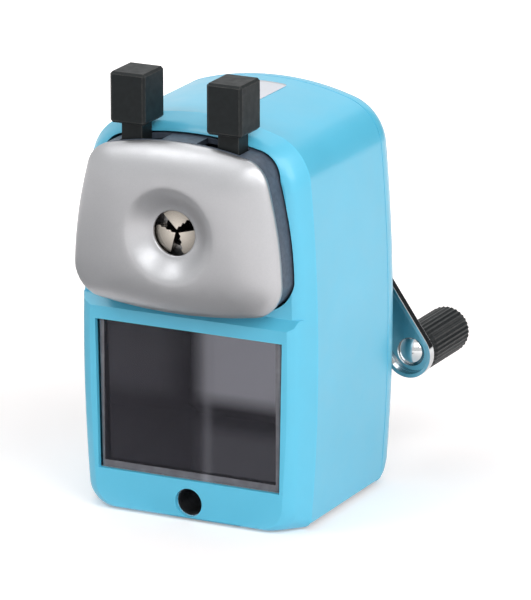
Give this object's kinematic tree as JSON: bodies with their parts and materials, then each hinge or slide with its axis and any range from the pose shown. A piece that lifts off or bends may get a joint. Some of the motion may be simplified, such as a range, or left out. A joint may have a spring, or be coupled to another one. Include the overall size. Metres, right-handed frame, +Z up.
{
  "type": "crank pencil sharpener",
  "caption": "Desk pencil sharpener with a barrel-shaped case, a sprung pull-out carriage with pinch tabs and pencil jaws, a smoked drawer, and a crank that turns a helical cutter.",
  "frame": {"origin": "on the table, under the middle of the case", "axes": "+Z up, the front with the pencil hole at -Y, +X to the right seen from the front"},
  "size_m": [0.0815, 0.1083, 0.1318],
  "materials": {
    "blue_paint": "satin",
    "smoked": "clear smoked",
    "silver": "satin",
    "dark_grey": "matt",
    "black": "matt",
    "plated": "bright plated",
    "steel": "plain",
    "bronze": "sintered",
    "rubber": "matt"
  },
  "bodies": {
    "case": {"front_frame": "blue_paint", "main_sleeve": "blue_paint", "rear_cover": "blue_paint", "base_plate": "steel", "rubber_feet": "rubber", "case_screws": "steel", "drawer_shelf": "steel", "clamp_socket": "steel", "inner_frame": "black", "rod_bushes": "bronze", "ring_gear_housing": "black", "shaft_bush": "bronze"},
    "drawer_body": {"drawer": "smoked"},
    "carriage": {"face_plate": "silver", "carriage_housing": "dark_grey", "carriage_screws": "steel", "guide_rods": "plated", "rod_clips": "steel", "return_springs": "steel", "pencil_sleeve": "steel"},
    "lever_left": {"jaw_plate_left": "steel", "jaw_pins": "steel", "tab_left": "black", "jaw_spring": "steel"},
    "lever_right": {"jaw_plate_right": "steel", "drive_pins": "steel", "tab_right": "black"},
    "jaw_a": {"jaw_top": "plated"},
    "jaw_b": {"jaw_left": "plated"},
    "jaw_c": {"jaw_right": "plated"},
    "crank": {"cutter_carrier": "silver", "cutter_pin": "steel", "crank_shaft": "steel", "crank_arm": "plated", "crank_screw": "plated", "grip_rivet": "plated"},
    "cutter": {"helical_cutter": "steel", "cutter_pinion": "steel"},
    "grip": {"handle_grip": "black"}
  },
  "joints": [
    {"name": "drawer_slide", "type": "slide", "parent": "case", "child": "drawer_body", "axis": [0, -1, 0], "range_m": [0, 0.045]},
    {"name": "carriage_slide", "type": "slide", "parent": "case", "child": "carriage", "axis": [0, -1, 0], "range_m": [0, 0.027], "stiffness_N_per_m": 120, "springref_m": -0.01, "deforming": ["return_springs"]},
    {"name": "pinch_left", "type": "hinge", "parent": "carriage", "child": "lever_left", "pos_m": [0, -0.0335, 0.0875], "axis": [0, 1, 0], "range_deg": [0, 11], "stiffness_Nm_per_rad": 0.3, "springref_deg": -17.19, "deforming": ["jaw_spring"]},
    {"name": "pinch_right", "type": "hinge", "parent": "carriage", "child": "lever_right", "pos_m": [0, -0.0312, 0.0875], "axis": [0, 1, 0], "range_deg": [-11, 0]},
    {"name": "jaw_a_swing", "type": "hinge", "parent": "lever_left", "child": "jaw_a", "pos_m": [0, -0.0361, 0.0955], "axis": [0, 1, 0], "range_deg": [-46.2, 0]},
    {"name": "jaw_b_swing", "type": "hinge", "parent": "lever_left", "child": "jaw_b", "pos_m": [-0.00693, -0.0361, 0.0835], "axis": [0, 1, 0], "range_deg": [-46.2, 0]},
    {"name": "jaw_c_swing", "type": "hinge", "parent": "lever_left", "child": "jaw_c", "pos_m": [0.00693, -0.0361, 0.0835], "axis": [0, 1, 0], "range_deg": [-46.2, 0]},
    {"name": "crank_turn", "type": "hinge", "parent": "case", "child": "crank", "pos_m": [0, 0.03, 0.0875], "axis": [0, 1, 0], "continuous": true},
    {"name": "cutter_spin", "type": "hinge", "parent": "crank", "child": "cutter", "pos_m": [0, 0.05285, 0.0875], "axis": [0, 0.9877, 0.1564], "continuous": true},
    {"name": "grip_spin", "type": "hinge", "parent": "crank", "child": "grip", "pos_m": [0.03744, 0.05, 0.03671], "axis": [0, 1, 0], "continuous": true}
  ],
  "couplings": [
    {"joint": "pinch_right", "follows": "pinch_left", "ratio": -1},
    {"joint": "jaw_a_swing", "follows": "pinch_left", "ratio": -4.192},
    {"joint": "jaw_b_swing", "follows": "pinch_left", "ratio": -4.192},
    {"joint": "jaw_c_swing", "follows": "pinch_left", "ratio": -4.192},
    {"joint": "cutter_spin", "follows": "crank_turn", "ratio": -2.1667}
  ]
}
